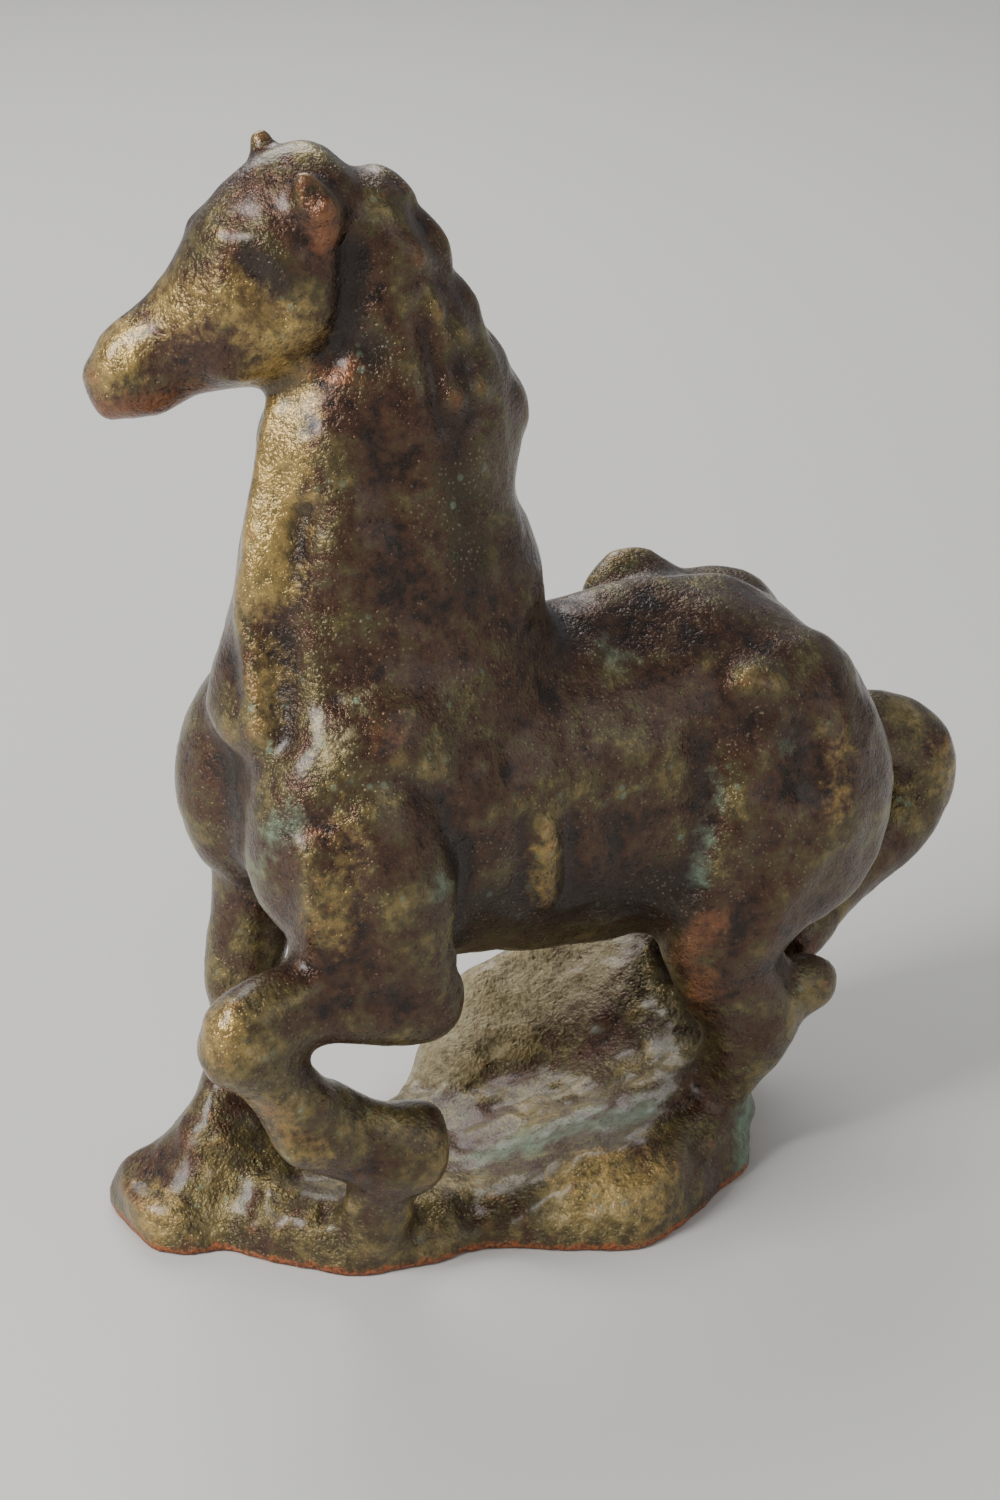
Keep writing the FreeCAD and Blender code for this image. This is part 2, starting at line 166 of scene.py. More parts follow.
def blurred(field, radius):
    """Three box blurs of the given radius in millimetres, which is close to a Gaussian."""
    reach = max(1, round(radius / VOXEL))
    for axis in range(3):
        for _ in range(3):
            padding = [(reach + 1, reach) if i == axis else (0, 0) for i in range(3)]
            total = np.cumsum(np.pad(field, padding, mode="edge"), axis=axis)
            width = 2 * reach + 1
            ahead = tuple(slice(width, None) if i == axis else slice(None) for i in range(3))
            behind = tuple(slice(0, -width) if i == axis else slice(None) for i in range(3))
            field = (total[ahead] - total[behind]) / np.float32(width)
    return field


def closed_space(field):
    """Mask of the empty space that the outside can't reach, one coarse cell larger all round."""
    step = 3
    empty = field[::step, ::step, ::step] > 0
    reached = np.zeros_like(empty)
    for axis in range(3):
        faces = [slice(None)] * 3
        faces[axis] = [0, -1]
        reached[tuple(faces)] = True
    reached &= empty
    count = 0
    while reached.sum() != count:
        count = reached.sum()
        for _ in range(8):
            reached = spread(reached) & empty
    mask = spread(empty & ~reached)
    for axis in range(3):
        mask = np.repeat(mask, step, axis)
    return mask[:SHAPE[0], :SHAPE[1], :SHAPE[2]]


def roofed_space(field):
    """Mask of the empty space with something above it and on all four sides, one cell larger all round."""
    solid = field <= 0
    mask = ~solid
    for axis, from_end in ((0, False), (0, True), (1, False), (1, True), (2, True)):
        seen = np.flip(solid, axis) if from_end else solid
        seen = np.logical_or.accumulate(seen, axis)
        mask &= np.flip(seen, axis) if from_end else seen
    return spread(mask)


def spread(mask):
    """The mask grown by one cell along each axis."""
    grown = mask.copy()
    for axis in range(3):
        ahead = np.roll(mask, 1, axis)
        behind = np.roll(mask, -1, axis)
        grown |= ahead | behind
    return grown


def place(node, across_x, across_y, across_z):
    """A point in grid millimetres, given as shares of a node's box."""
    low, high = BOXES[node]
    return low + (high - low) * np.array([across_x, across_y, across_z])


def local_window(points, reach):
    """Slices of the grid round some points."""
    low = np.floor((np.min(points, axis=0) - reach) / VOXEL).astype(int) - FIRST
    high = np.ceil((np.max(points, axis=0) + reach) / VOXEL).astype(int) - FIRST + 1
    return tuple(slice(max(0, a), min(n, b)) for a, b, n in zip(low, high, SHAPE))


def distance_to_path(window, path):
    """Distance from each grid point in a window to a chain of points."""
    axes = [PLACES[i][tuple(window[j] if j == i else slice(None) for j in range(3))] for i in range(3)]
    best = None
    chain = list(zip(path[:-1], path[1:])) or [(path[0], path[0])]
    for start, end in chain:
        way = end - start
        length = float(way @ way)
        offset = [axes[i] - start[i] for i in range(3)]
        along = 0.0
        if length > 0:
            along = np.clip(sum(offset[i] * way[i] for i in range(3)) / length, 0, 1)
        gap = sum((offset[i] - along * way[i]) ** 2 for i in range(3))
        best = gap if best is None else np.minimum(best, gap)
    return np.sqrt(best)


def brush(field, path, radius, height):
    """Raise the surface by height along a path, fading out over radius. A negative height sinks it."""
    path = [np.asarray(p, float) for p in path]
    window = local_window(path, 2.2 * radius)
    gap = distance_to_path(window, path)
    field[window] -= height * np.exp(-(gap / radius) ** 2)


def noise_field(cell, seed):
    """Smooth noise over the grid, from -1 to 1, whose lumps are about one cell wide."""
    rng = np.random.default_rng(seed)
    steps = cell / VOXEL
    field = rng.uniform(-1, 1, [int(n / steps) + 3 for n in SHAPE]).astype(np.float32)
    for axis in range(3):
        at = np.arange(SHAPE[axis]) / steps
        index = at.astype(int)
        share = (at - index).astype(np.float32)
        share = share * share * (3 - 2 * share)
        shape = [1, 1, 1]
        shape[axis] = -1
        share = share.reshape(shape)
        lower = np.take(field, index, axis)
        field = lower + (np.take(field, index + 1, axis) - lower) * share
    return field


def sampled(field, points):
    """Trilinear values of a field at points in grid millimetres."""
    at = points / VOXEL - FIRST
    at = np.clip(at, 0, np.array(SHAPE) - 1.001)
    index = at.astype(int)
    share = (at - index).astype(np.float32)
    total = np.zeros(len(points), np.float32)
    for i in (0, 1):
        for j in (0, 1):
            for k in (0, 1):
                weight = np.ones(len(points), np.float32)
                for axis, side in enumerate((i, j, k)):
                    weight *= share[:, axis] if side else 1 - share[:, axis]
                total += weight * field[index[:, 0] + i, index[:, 1] + j, index[:, 2] + k]
    return total


# ---------------------------------------------------------------- modelling
def lowest(fields, names):
    """The union of some castings."""
    return np.minimum.reduce([fields[name] for name in names])


def united(fields):
    """The castings as one form, with fillets where the masses of the body meet, and the rock filled up."""
    body = lowest(fields, BODY_NODES)
    body[closed_space(body)] = -BAND
    body = np.minimum(body, blurred(body, SMALL_FILLET))
    body = np.minimum(body, blurred(body, LARGE_FILLET))
    under_rock = roofed_space(np.minimum(fields["rock_base"], node_field("foot_studs")))
    rock = np.where(under_rock, -FILLED, fields["rock_base"])
    ground = int(np.argmax(PLACES[2].ravel() > GROUND_SKIN))
    rock[:, :, :ground] = rock[:, :, ground:ground + 1]
    whole = np.minimum(np.minimum(body, lowest(fields, TRIM_NODES)), rock)
    whole = np.minimum(whole, blurred(whole, ROCK_FILLET))
    whole = blurred(redistanced(whole), SOFTENING) - ROUNDING_LOSS
    return np.minimum(whole, lowest(fields, EARS)), under_rock


def hollowed(field, fields, under_rock):
    """Open the underside of the rock again. Its wall is thicker than the casting's, but not at the nuts."""
    true_field = redistanced(field)
    near_nuts = np.clip(1 - node_field("foot_nuts") / 5, 0, 1)
    space = np.minimum(fields["rock_base"] - EXTRA_WALL * (1 - near_nuts), -true_field - THINNEST_WALL)
    open_below = (PLACES[2] < GROUND_SKIN) & (fields["rock_base"] > 0)
    field = np.maximum(true_field, np.where(under_rock | open_below, space, -BAND))
    return np.maximum(field, FOOT_LIFT - PLACES[2])


def plugs_covered(field, fields):
    """Keep the skin over the ends of the core plugs, which are chased flush and can't be seen."""
    plugs = node_field("core_plugs")
    cover = np.clip((5.5 - plugs) / 3, 0, 1)
    cover *= cover * (3 - 2 * cover)
    proud = np.minimum(field, np.minimum(lowest(fields, BODY_NODES), plugs) - PLUG_COVER)
    return field + (proud - field) * cover


def stroke(field, node, shares, radius, height):
    """A brush stroke through points given as shares of one node's box."""
    brush(field, [place(node, *share) for share in shares], radius, height)


def both_sides(field, node, shares, radius, height):
    """The same stroke on the left side and mirrored on the right side of a node."""
    stroke(field, node, shares, radius, height)
    stroke(field, node, [(x, 1 - y, z) for x, y, z in shares], radius, height)


def model_head(field):
    """Full muzzle, brows over hollow eye sockets, round cheeks, and ears with dark hollows."""
    head = "head_casting"
    stroke(field, head, [(0.05, 0.72, 0.26)], 6, 0.9)
    stroke(field, head, [(0.26, 0.66, 0.50)], 6, -0.5)
    for brow, socket, lid in (
            ([(0.36, 0.30, 0.74), (0.45, 0.17, 0.72), (0.52, 0.10, 0.66)],
             [(0.41, 0.17, 0.62), (0.48, 0.10, 0.48)], (0.45, 0.12, 0.57)),
            ([(0.38, 0.78, 0.72), (0.45, 0.86, 0.70), (0.52, 0.90, 0.68)],
             [(0.42, 0.86, 0.62), (0.50, 0.92, 0.50)], (0.47, 0.90, 0.58))):
        stroke(field, head, brow, 3, 0.9)
        stroke(field, head, socket, 3.2, -2.0)
        stroke(field, head, [lid], 1.8, 0.9)
    stroke(field, head, [(0.58, 0.10, 0.36)], 7, 1.6)
    stroke(field, head, [(0.50, 0.17, 0.16), (0.36, 0.34, 0.22)], 3, 0.9)
    stroke(field, head, [(0.60, 0.92, 0.36)], 8, 1.3)
    stroke(field, head, [(0.34, 0.50, 0.80), (0.55, 0.48, 0.98)], 5, 0.6)
    stroke(field, head, [(0.05, 0.56, 0.12), (0.20, 0.40, 0.17)], 1.3, -0.7)
    stroke(field, head, [(0.74, 0.04, 0.66), (0.73, 0.05, 0.44), (0.68, 0.12, 0.28)], 2.8, -2.4)
    stroke(field, head, [(0.82, 0.92, 0.66), (0.80, 0.96, 0.44), (0.74, 0.90, 0.28)], 2.8, -1.9)
    stroke(field, "neck_casting", [(0.37, 0.25, 0.69)], 3.5, -1.8)
    ear = "left_ear"
    stroke(field, ear, [(0.10, 0.10, 0.88), (0.20, 0.02, 0.70)], 1.5, -2.2)
    stroke(field, ear, [(0.80, 0.30, 0.95), (0.85, 0.20, 0.75)], 1.6, -1.5)
    stroke(field, ear, [(0.40, 0.0, 0.55)], 2.4, 1.0)
    stroke(field, ear, [(0.50, 0.10, 0.20)], 2.2, 0.7)
    stroke(field, "right_ear", [(0.30, 0.10, 0.75), (0.40, 0.10, 0.50)], 1.5, -1.2)


def model_neck(field):
    """Sharp ridge down the front with a dark groove behind it, and locks of mane along the crest."""
    neck = "neck_casting"
    torso = "torso_casting"
    front = [place(neck, 0.16, 0.54, 0.52), place(neck, 0.10, 0.50, 0.36), place(neck, 0.04, 0.42, 0.18),
             place(neck, 0.01, 0.42, 0.03), place(torso, 0.03, 0.39, 0.92), place(torso, 0.03, 0.34, 0.80)]
    brush(field, front, 2.6, 2.3)
    behind = [place(neck, 0.16, 0.30, 0.30), place(neck, 0.08, 0.22, 0.10), place(torso, 0.06, 0.32, 0.99),
              place(torso, 0.05, 0.30, 0.89), place(torso, 0.04, 0.27, 0.80)]
    brush(field, behind, 2.8, -2.4)
    far = [place(neck, 0.16, 0.76, 0.52), place(neck, 0.10, 0.82, 0.30), place(neck, 0.03, 0.84, 0.06),
           place(torso, 0.03, 0.72, 0.84)]
    brush(field, far, 3, 1.4)
    stroke(field, neck, [(0.09, 0.66, 0.36), (0.02, 0.62, 0.08)], 3.5, -0.8)
    stroke(field, torso, [(0.09, 0.26, 0.97), (0.10, 0.24, 0.84)], 7, 1.2)
    stroke(field, torso, [(0.11, 0.22, 0.88)], 1.6, -1.2)
    both_sides(field, neck, [(0.40, 0.16, 0.62), (0.38, 0.08, 0.35), (0.40, 0.05, 0.10)], 5, -1.0)
    both_sides(field, neck, [(0.24, 0.20, 0.45), (0.22, 0.10, 0.22)], 5, 0.7)
    both_sides(field, neck, [(0.52, 0.22, 0.84), (0.54, 0.18, 0.68), (0.56, 0.12, 0.50)], 2.0, -1.5)
    both_sides(field, neck, [(0.60, 0.26, 0.84), (0.64, 0.20, 0.67), (0.66, 0.14, 0.50)], 2.2, -0.9)
    for lock in ((0.52, 0.28, 0.92), (0.58, 0.22, 0.78), (0.64, 0.20, 0.70), (0.69, 0.16, 0.57),
                 (0.60, 0.14, 0.56)):
        both_sides(field, neck, [lock], 3.2, 1.4)
    mane = "mane_casting"
    for height, lift in ((0.93, 0.8), (0.84, -0.9), (0.74, 1.0), (0.63, -1.0), (0.52, 1.0), (0.40, -1.0),
                         (0.30, 0.8), (0.22, -1.6), (0.09, 2.0)):
        across = 0.08 + 0.88 * (1 - height) ** 0.75
        stroke(field, mane, [(across, 0.25, height), (across, 0.70, height)], 2.6, lift)


def model_chest(field):
    """Breast muscles, the block of the upper arm under its arch, and the armpits."""
    torso = "torso_casting"
    stroke(field, torso, [(0.00, 0.54, 0.72), (0.01, 0.54, 0.50), (0.05, 0.54, 0.30)], 4, -1.4)
    arch = [(0.04, 0.13, 0.62), (0.07, 0.09, 0.67), (0.12, 0.07, 0.73), (0.17, 0.07, 0.71),
            (0.22, 0.08, 0.64), (0.24, 0.07, 0.50)]
    both_sides(field, torso, arch, 3.0, -1.6)
    both_sides(field, torso, [(0.12, 0.03, 0.58), (0.15, 0.02, 0.48)], 6, 0.9)
    both_sides(field, torso, [(0.04, 0.13, 0.60), (0.04, 0.09, 0.44), (0.05, 0.10, 0.34)], 2.6, 1.9)
    both_sides(field, torso, [(0.08, 0.05, 0.60), (0.09, 0.02, 0.42), (0.10, 0.02, 0.32)], 3.0, -1.6)
    both_sides(field, torso, [(0.26, 0.11, 0.50), (0.25, 0.12, 0.36), (0.24, 0.14, 0.22)], 3.2, -2.0)
    both_sides(field, torso, [(0.17, 0.12, 0.86), (0.22, 0.12, 0.80)], 6, 0.9)
    stroke(field, torso, [(0.48, 0.61, 0.81)], 3.5, 2.4)
    both_sides(field, torso, [(0.32, 0.13, 0.78), (0.34, 0.10, 0.66)], 6, -0.9)


def model_barrel(field):
    """Ribs, spine, the sunken loins and the deep fold between the belly and the thigh."""
    torso = "torso_casting"
    for along, depth in ((0.345, -1.3), (0.42, -1.3), (0.49, -0.8), (0.55, -0.5)):
        both_sides(field, torso, [(along, 0.09, 0.52), (along + 0.01, 0.13, 0.30)], 2.8, depth)
    both_sides(field, torso, [(0.383, 0.09, 0.50), (0.393, 0.14, 0.28)], 2.4, 1.1)
    spine = [(0.46, 0.53, 0.84), (0.62, 0.53, 0.87), (0.80, 0.53, 0.82), (0.92, 0.53, 0.66)]
    stroke(field, torso, spine, 3.6, 1.1)
    both_sides(field, torso, [(0.58, 0.34, 0.82), (0.66, 0.34, 0.83)], 6, -1.2)
    both_sides(field, torso, [(0.64, 0.11, 0.60), (0.63, 0.08, 0.42), (0.60, 0.09, 0.26)], 3.8, -2.3)
    both_sides(field, torso, [(0.55, 0.12, 0.62)], 8, 0.6)


def model_haunches(field):
    """Hip bones with the hollow behind them, the thigh's ridge that runs down to the hock, and the dock."""
    torso = "torso_casting"
    stroke(field, torso, [(0.71, 0.15, 0.72), (0.74, 0.12, 0.70)], 3.2, 1.6)
    stroke(field, torso, [(0.70, 0.80, 0.84), (0.74, 0.80, 0.84)], 3.0, 1.6)
    both_sides(field, torso, [(0.75, 0.10, 0.63)], 2.6, 1.2)
    both_sides(field, torso, [(0.78, 0.06, 0.58), (0.77, 0.03, 0.47)], 4.4, -2.8)
    both_sides(field, torso, [(0.69, 0.09, 0.63)], 4, -1.4)
    both_sides(field, torso, [(0.84, 0.06, 0.50), (0.84, 0.02, 0.32)], 6, 1.0)
    both_sides(field, torso, [(0.78, 0.02, 0.28), (0.72, 0.01, 0.18), (0.70, 0.02, 0.08)], 3.2, 1.5)
    both_sides(field, torso, [(0.69, 0.02, 0.32), (0.65, 0.05, 0.12)], 4.2, -1.1)
    both_sides(field, torso, [(0.90, 0.22, 0.60), (0.93, 0.30, 0.44)], 4.5, -1.2)


def model_legs(field):
    """Bony knees, hocks and fetlocks, the tendons between them and the rims of the hooves."""
    fore = "left_foreleg"
    stroke(field, fore, [(0.05, 0.28, 0.84)], 3.5, 1.3)
    stroke(field, fore, [(0.10, 0.26, 0.95)], 2.6, 0.9)
    stroke(field, fore, [(0.05, 0.30, 0.68)], 2.6, 0.8)
    stroke(field, fore, [(0.28, 0.12, 0.86), (0.70, 0.10, 0.86)], 2.8, -0.9)
    stroke(field, fore, [(0.45, 0.30, 0.99)], 2.8, 1.3)
    stroke(field, fore, [(0.92, 0.30, 0.70), (0.93, 0.30, 0.90)], 3.5, 0.8)
    stroke(field, fore, [(0.14, 0.12, 0.56), (0.32, 0.14, 0.40)], 2.2, -1.0)
    stroke(field, fore, [(0.42, 0.18, 0.50)], 3.6, 1.2)
    stroke(field, fore, [(0.34, 0.26, 0.30)], 3.8, 1.2)
    stroke(field, fore, [(0.60, 0.30, 0.46), (0.62, 0.08, 0.30), (0.60, 0.20, 0.10)], 1.6, -1.7)
    stroke(field, fore, [(0.72, 0.30, 0.36), (0.74, 0.30, 0.12)], 4, 0.8)
    right = "right_foreleg"
    stroke(field, right, [(0.20, 0.45, 0.62)], 4, 1.2)
    stroke(field, right, [(0.10, 0.40, 0.20)], 4, 0.8)
    both_sides(field, right, [(0.45, 0.10, 0.50), (0.45, 0.10, 0.25)], 2.5, -0.7)
    for hind in ("left_hind_leg", "right_hind_leg"):
        stroke(field, hind, [(0.86, 0.50, 0.66)], 3.4, 0.9)
        both_sides(field, hind, [(0.62, 0.16, 0.86), (0.66, 0.20, 0.74)], 3.2, -1.5)
        both_sides(field, hind, [(0.30, 0.16, 0.72)], 3.6, 0.8)
        both_sides(field, hind, [(0.40, 0.14, 0.50), (0.36, 0.14, 0.30)], 2.6, -0.8)


def model_tail(field):
    """Long locks that follow the tail round."""
    tail = "tail_casting"
    outer = [(0.15, 0.92), (0.45, 0.93), (0.72, 0.88), (0.93, 0.66), (0.88, 0.42), (0.62, 0.24),
             (0.35, 0.12)]
    inner = [(0.20, 0.78), (0.50, 0.76), (0.70, 0.66), (0.72, 0.50), (0.55, 0.38), (0.30, 0.22)]
    for y, line, depth in ((0.30, outer, -1.3), (0.85, outer, -1.3), (0.20, inner, -1.2),
                           (0.92, inner, -1.2), (0.58, outer, 0.9)):
        lean = [(x, y - 0.25 * (1 - z), z) for x, z in line]
        stroke(field, tail, lean, 2.0, depth)


def model_rock(field):
    """Rounded lobes along the near edge with gullies between them, and pits in the valley behind."""
    rock = "rock_base"
    stroke(field, rock, [(0.03, 0.59, 0.24)], 8, 1.4)
    stroke(field, rock, [(0.18, 0.34, 0.28)], 8, 1.6)
    stroke(field, rock, [(0.56, 0.14, 0.38), (0.64, 0.08, 0.36)], 10, 2.2)
    stroke(field, rock, [(0.12, 0.50, 0.50), (0.08, 0.44, 0.10)], 4.5, -2.4)
    stroke(field, rock, [(0.42, 0.20, 0.22), (0.44, 0.34, 0.26)], 7, -1.6)
    stroke(field, rock, [(0.74, 0.10, 0.40), (0.76, 0.20, 0.70)], 5, -1.5)
    stroke(field, rock, [(0.86, 0.30, 0.20), (0.90, 0.36, 0.10)], 4, 1.8)
    stroke(field, rock, [(0.60, 0.62, 0.26), (0.76, 0.50, 0.50)], 8, -1.0)
    rng = np.random.default_rng(11)
    low, high = BOXES[rock]
    heights = PLACES[2].ravel()
    for _ in range(PITS):
        share = rng.uniform(0.03, 0.97, 2)
        x, y = low[:2] + (high - low)[:2] * share
        column = field[tuple(np.round(np.array([x, y]) / VOXEL).astype(int) - FIRST[:2])]
        solid = np.where((column < 0) & (heights < high[2] + 2))[0]
        size = rng.uniform(0.9, 2.6)
        lift = rng.choice([-1, 1], p=[0.62, 0.38]) * rng.uniform(0.3, 0.75) * size * 0.6
        if len(solid):
            brush(field, [np.array([x, y, heights[solid[-1]]])], size, lift)


def roughened(field, fields):
    """Lumps left by the modelling and the mould: coarser on the rock than on the horse."""
    on_rock = np.clip((lowest(fields, BODY_NODES) - fields["rock_base"]) / 6 + 0.5, 0, 1)
    for seed, (width, height, more_on_rock) in enumerate(LUMPS, start=1):
        field -= noise_field(width, seed) * (height + more_on_rock * on_rock)
    return field


# ---------------------------------------------------------------- from the field to pieces
def cut_along(bm, side, origin):
    """Cut the faces of bm where side, one value per vertex, changes sign. Returns the negative side's faces.

    A vertex that a cut makes gets 0 in the layer origin, which marks it as new.
    """
    bm.verts.ensure_lookup_table()
    side = list(side)
    crossed = []
    for edge in bm.edges:
        a, b = edge.verts
        if side[a.index] * side[b.index] < 0:
            share = side[a.index] / (side[a.index] - side[b.index])
            crossed.append((edge, a, min(max(share, 0.06), 0.94)))
    on_cut = {}
    for edge, start, share in crossed:
        vert = bmesh.utils.edge_split(edge, start, share)[1]
        vert[origin] = 0
        on_cut[vert] = True
    for face in dict.fromkeys(f for v in on_cut for f in v.link_faces):
        corners = [v for v in face.verts if v in on_cut]
        if len(corners) == 2:
            bmesh.utils.face_split(face, corners[0], corners[1])
    negative = []
    for face in bm.faces:
        values = [side[v.index] for v in face.verts if v not in on_cut]
        if values and sum(values) < 0:
            negative.append(face)
    return negative


def seam_faces(points, quads, fields):
    """Cut the quads that span a joint. Returns all the points and, for each casting, the cut faces.

    The layer origin holds a vertex's place in the list of points, counted from 1.
    """
    used, local = np.unique(quads, return_inverse=True)
    bm = bmesh.new()
    origin = bm.verts.layers.int.new("origin")
    for index in used:
        bm.verts.new(points[index])[origin] = int(index) + 1
    bm.verts.ensure_lookup_table()
    for quad in local.reshape(-1, 4):
        bm.faces.new([bm.verts[i] for i in quad])
    faces = {}
    every_point = [points]
    count = len(points)
    remaining = list(SPLIT_ORDER)
    while remaining:
        name = remaining.pop(0)
        bm.verts.index_update()
        places = np.array([v.co for v in bm.verts])
        if remaining:
            side = sampled(fields[name], places) - sampled(lowest(fields, remaining), places)
            chosen = cut_along(bm, side, origin)
        else:
            chosen = list(bm.faces)
        fresh = [v for v in bm.verts if v[origin] == 0]
        for vert in fresh:
            count += 1
            vert[origin] = count
        every_point.append(np.array([v.co for v in fresh]).reshape(-1, 3))
        faces[name] = [[v[origin] - 1 for v in face.verts] for face in chosen]
        bmesh.ops.delete(bm, geom=chosen, context="FACES")
    return np.concatenate(every_point), faces


def into_pieces(points, quads, fields):
    """Cut the skin where the castings meet. Returns all the points and each casting's faces."""
    values = np.stack([sampled(fields[name], points) for name in SPLIT_ORDER])
    label = values.argmin(axis=0)[quads]
    whole = (label == label[:, :1]).all(axis=1)
    points, faces = seam_faces(points, quads[~whole], fields)
    for number, name in enumerate(SPLIT_ORDER):
        faces[name] += quads[whole & (label[:, 0] == number)].tolist()
    return points, faces


def cap_loops(faces):
    """The open loops of some faces, each turned so that a face on it closes the form."""
    edges = {(a, b) for face in faces for a, b in zip(face, face[1:] + face[:1])}
    ahead = {}
    for a, b in edges:
        if (b, a) not in edges:
            ahead.setdefault(b, []).append(a)
    for ends in ahead.values():
        ends.sort()
    loops = []
    for start in sorted(ahead):
        while ahead[start]:
            loop = [start]
            at = ahead[start].pop()
            while at != start and ahead.get(at):
                loop.append(at)
                at = ahead[at].pop()
            if at == start and len(loop) > 2:
                loops.append(loop)
    return loops


def piece_mesh(name, points, faces, paint):
    """A closed mesh from some faces of the skin, with caps where it was cut, and its paint attributes."""
    caps = cap_loops(faces)
    faces = faces + caps
    corners = np.array([index for face in faces for index in face])
    used, local = np.unique(corners, return_inverse=True)
    starts = np.cumsum([0] + [len(face) for face in faces])
    mesh = bpy.data.meshes.new(name)
    mesh.from_pydata((points[used] / MM).tolist(), [],
                     [local[a:b].tolist() for a, b in zip(starts[:-1], starts[1:])])
    for key, values in paint.items():
        mesh.attributes.new(key, "FLOAT", "POINT").data.foreach_set("value", values[used].astype(np.float32))
    mesh.shade_smooth()
    bm = bmesh.new()
    bm.from_mesh(mesh)
    bm.faces.ensure_lookup_table()
    flat = [bm.faces[len(faces) - 1 - i] for i in range(len(caps))]
    for face in flat:
        face.smooth = False
        for edge in face.edges:
            edge.smooth = False
    bmesh.ops.triangulate(bm, faces=flat)
    bm.to_mesh(mesh)
    bm.free()
    return mesh


# ---------------------------------------------------------------- what the patina, the painted shade and the painted light follow
def near_path(points, path, radius):
    """How close each point is to a chain of points: 1 on it, fading out over radius."""
    best = np.full(len(points), np.inf)
    for start, end in list(zip(path[:-1], path[1:])) or [(path[0], path[0])]:
        way = end - start
        along = np.clip((points - start) @ way / max(way @ way, 1e-9), 0, 1)
        gap = ((points - start - along[:, None] * way) ** 2).sum(axis=1)
        best = np.minimum(best, gap)
    return np.exp(-best / radius ** 2)


